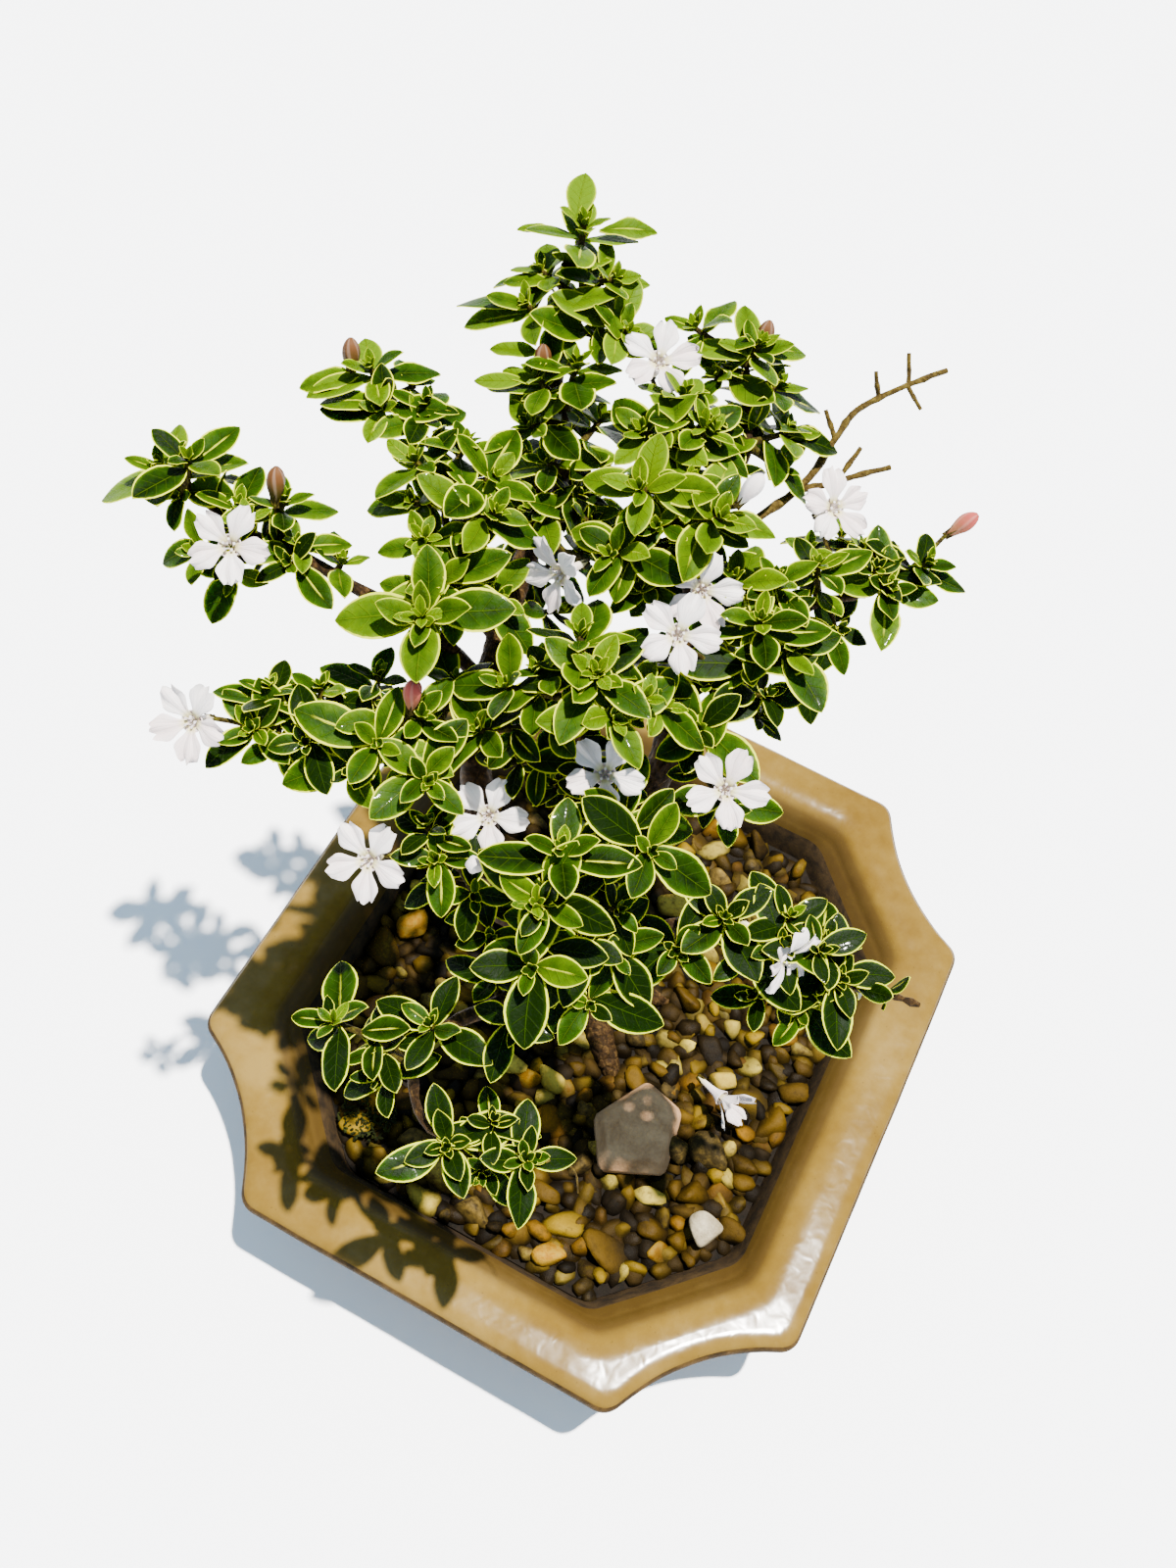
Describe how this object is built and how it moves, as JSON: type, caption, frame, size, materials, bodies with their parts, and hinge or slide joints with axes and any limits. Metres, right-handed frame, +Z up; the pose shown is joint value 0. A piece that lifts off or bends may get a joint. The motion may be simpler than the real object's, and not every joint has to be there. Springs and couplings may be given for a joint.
{
  "type": "bonsai tree in a tray pot",
  "caption": "Small flowering serissa bonsai with a forked leaning trunk, variegated leaves and white flowers, in a glazed tray pot with hollow-cut corners and a grit top.",
  "frame": {"origin": "middle of the whole plant's floor area, on the surface that the pot's feet stand on", "axes": "+Z up, +Y along the pot's long side towards the side that the crown leans to, +X along its short side"},
  "size_m": [0.1423, 0.1389, 0.1493],
  "materials": {
    "ochre_glaze": "glossy ochre glaze over stoneware, paler where it thins along the edges",
    "screen_plastic": "dark woven drainage mesh",
    "soil": "damp dark potting grit",
    "gravel": "loose tan, ochre, cream and brown grit",
    "stone": "matt grey-pink stone",
    "amber_stone": "worn amber pebble",
    "white_stone": "smooth off-white pebble",
    "moss": "dull green tuft of moss",
    "bark": "dark brown ridged bark",
    "dead_wood": "dry olive-tan twig",
    "variegated_leaf": "glossy green leaf with a cream edge, yellow-green where the light comes through, on brown shoots",
    "white_petal": "soft white petal with a faint pink flush",
    "pink_bud": "dull pink closed petals",
    "brown_bud": "dry brown bud"
  },
  "bodies": {
    "root": {"amber_pebble": "amber_stone", "bare_twigs": "dead_wood", "bud_brown_back": "brown_bud", "bud_brown_left": "brown_bud", "bud_brown_top": "brown_bud", "bud_brown_up_left": "brown_bud", "bud_opening": "white_petal", "bud_pale": "white_petal", "bud_pink_left": "pink_bud", "bud_pink_right": "pink_bud", "drain_screen_back": "screen_plastic", "drain_screen_front": "screen_plastic", "fallen_flower": "white_petal", "flat_stone": "stone", "flower_back_right": "white_petal", "flower_behind_middle": "white_petal", "flower_drooping": "white_petal", "flower_front": "white_petal", "flower_inner": "white_petal", "flower_inner_left": "white_petal", "flower_left_high": "white_petal", "flower_left_low": "white_petal", "flower_middle": "white_petal", "flower_right": "white_petal", "flower_top": "white_petal", "flower_trumpet": "white_petal", "gravel": "gravel", "leafy_twig_apex": "variegated_leaf", "leafy_twig_back_left": "variegated_leaf", "leafy_twig_back_low": "variegated_leaf", "leafy_twig_back_right": "variegated_leaf", "leafy_twig_centre": "variegated_leaf", "leafy_twig_centre_low": "variegated_leaf", "leafy_twig_front_left": "variegated_leaf", "leafy_twig_left_high": "variegated_leaf", "leafy_twig_left_low": "variegated_leaf", "leafy_twig_low_left": "variegated_leaf", "leafy_twig_low_right": "variegated_leaf", "leafy_twig_mid_left": "variegated_leaf", "leafy_twig_right": "variegated_leaf", "leafy_twig_top": "variegated_leaf", "leafy_twig_up_left": "variegated_leaf", "leafy_twig_upper_right": "variegated_leaf", "moss_tuft": "moss", "pot": "ochre_glaze", "soil": "soil", "trunk": "bark", "white_pebble": "white_stone"}
  },
  "joints": []
}
